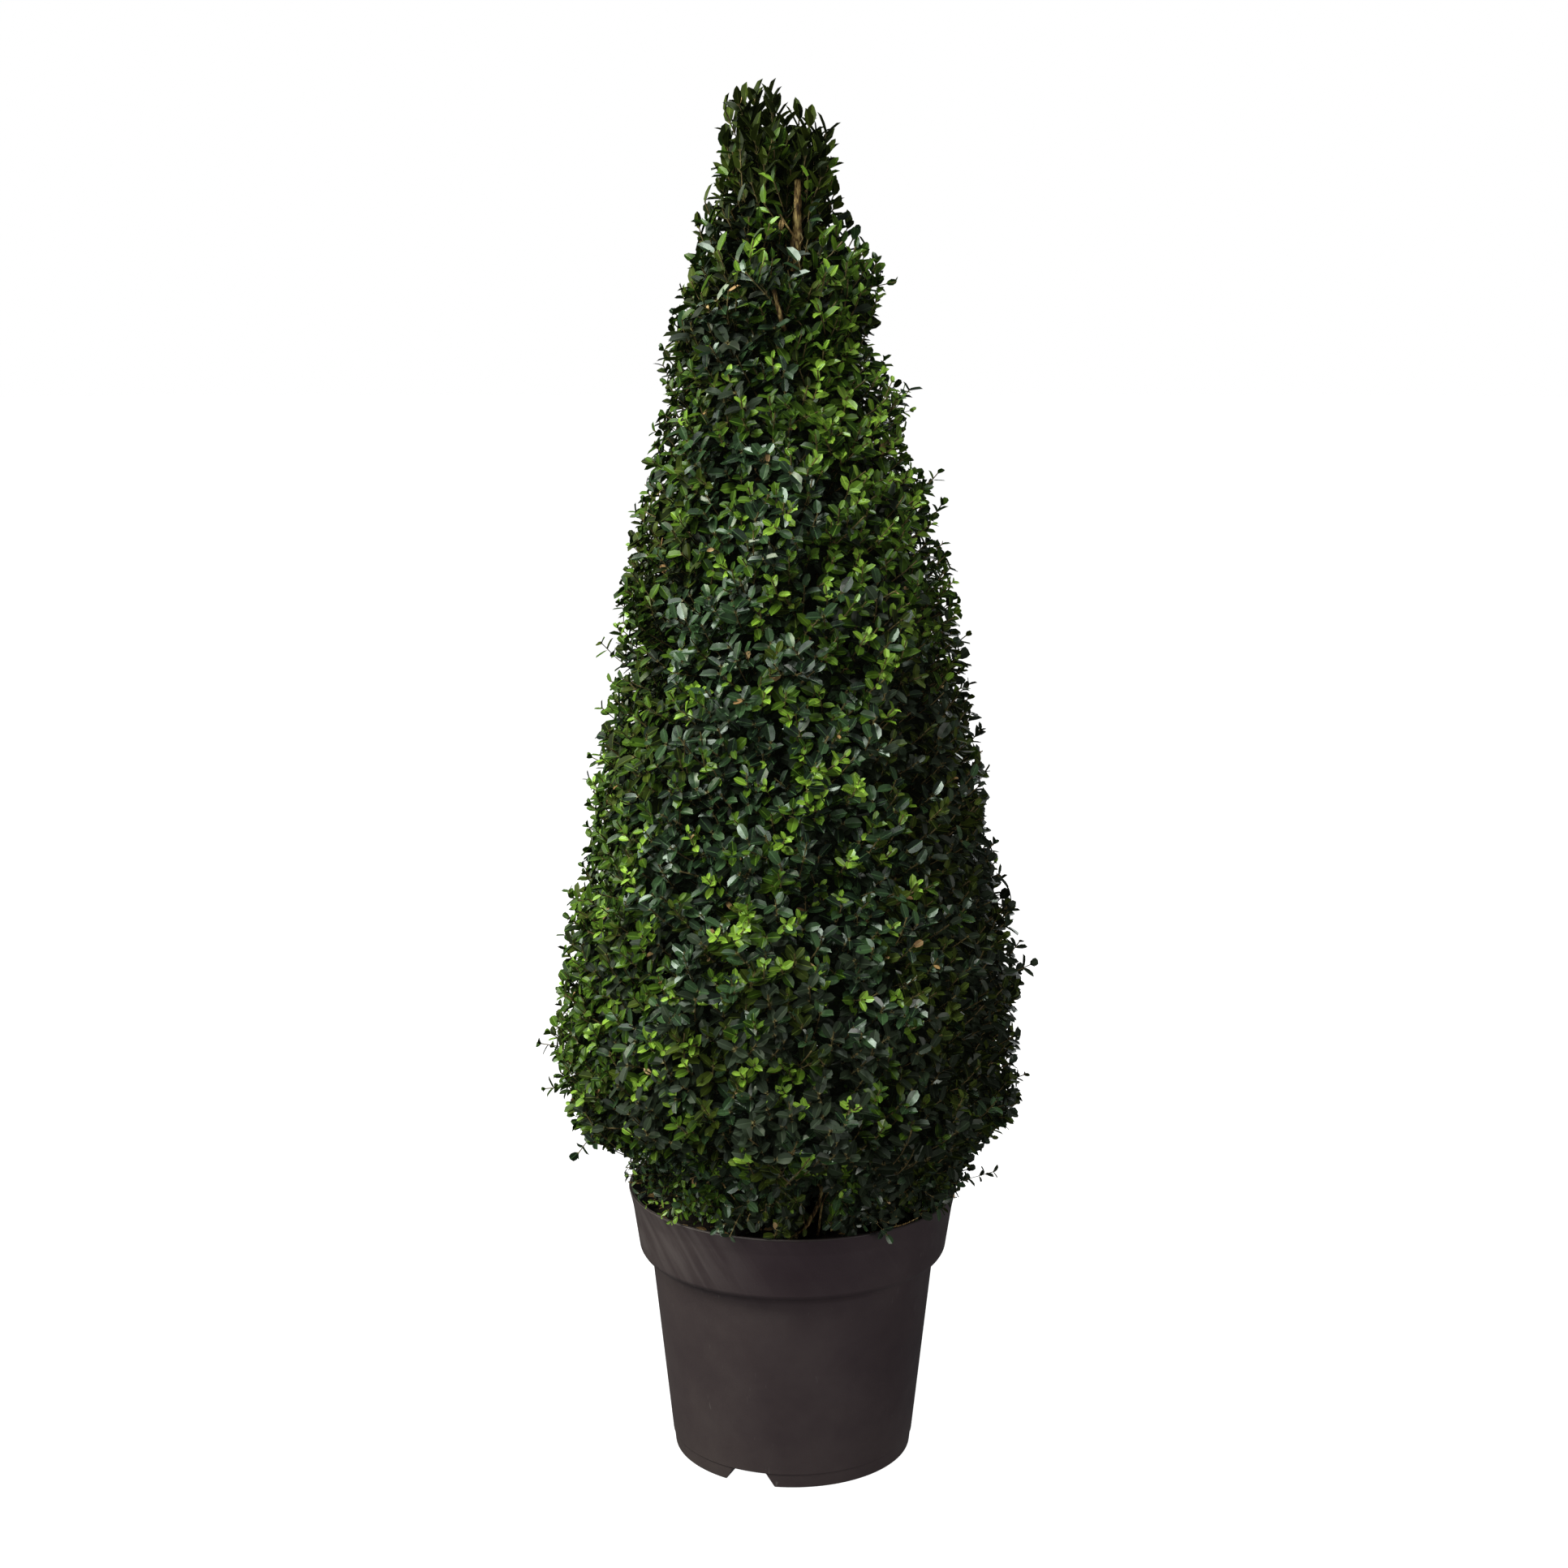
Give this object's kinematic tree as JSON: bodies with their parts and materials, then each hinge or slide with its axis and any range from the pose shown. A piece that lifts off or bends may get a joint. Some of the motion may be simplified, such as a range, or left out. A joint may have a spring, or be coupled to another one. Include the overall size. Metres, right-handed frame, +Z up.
{
  "type": "boxwood cone topiary",
  "caption": "Evergreen shrub clipped to a tall cone with a rounded skirt, growing in a plain tapered plastic nursery container with a stepped collar.",
  "frame": {"origin": "centre of the container's flat underside, on the ground", "axes": "+Z up along the trunk, -Y to the front as pictured, +X to the right of the picture"},
  "size_m": [0.5811, 0.5592, 1.636],
  "materials": {
    "plastic": "dull moulded, slightly scuffed",
    "compost": "damp and crumbly",
    "bark": "rough, finely fissured bark",
    "leaves": "leathery and glossy"
  },
  "bodies": {
    "root": {"pot": "plastic", "soil": "compost", "trunk": "bark", "bough_front": "bark", "bough_front_left": "bark", "bough_left": "bark", "bough_back_left": "bark", "bough_back": "bark", "bough_right": "bark", "bough_front_right": "bark", "foliage_skirt_front_left": "leaves", "foliage_skirt_front_right": "leaves", "foliage_skirt_back_right": "leaves", "foliage_skirt_back_left": "leaves", "foliage_lower": "leaves", "foliage_middle": "leaves", "foliage_upper": "leaves", "foliage_top": "leaves", "foliage_tuft_left": "leaves", "foliage_tuft_right": "leaves"}
  },
  "joints": []
}
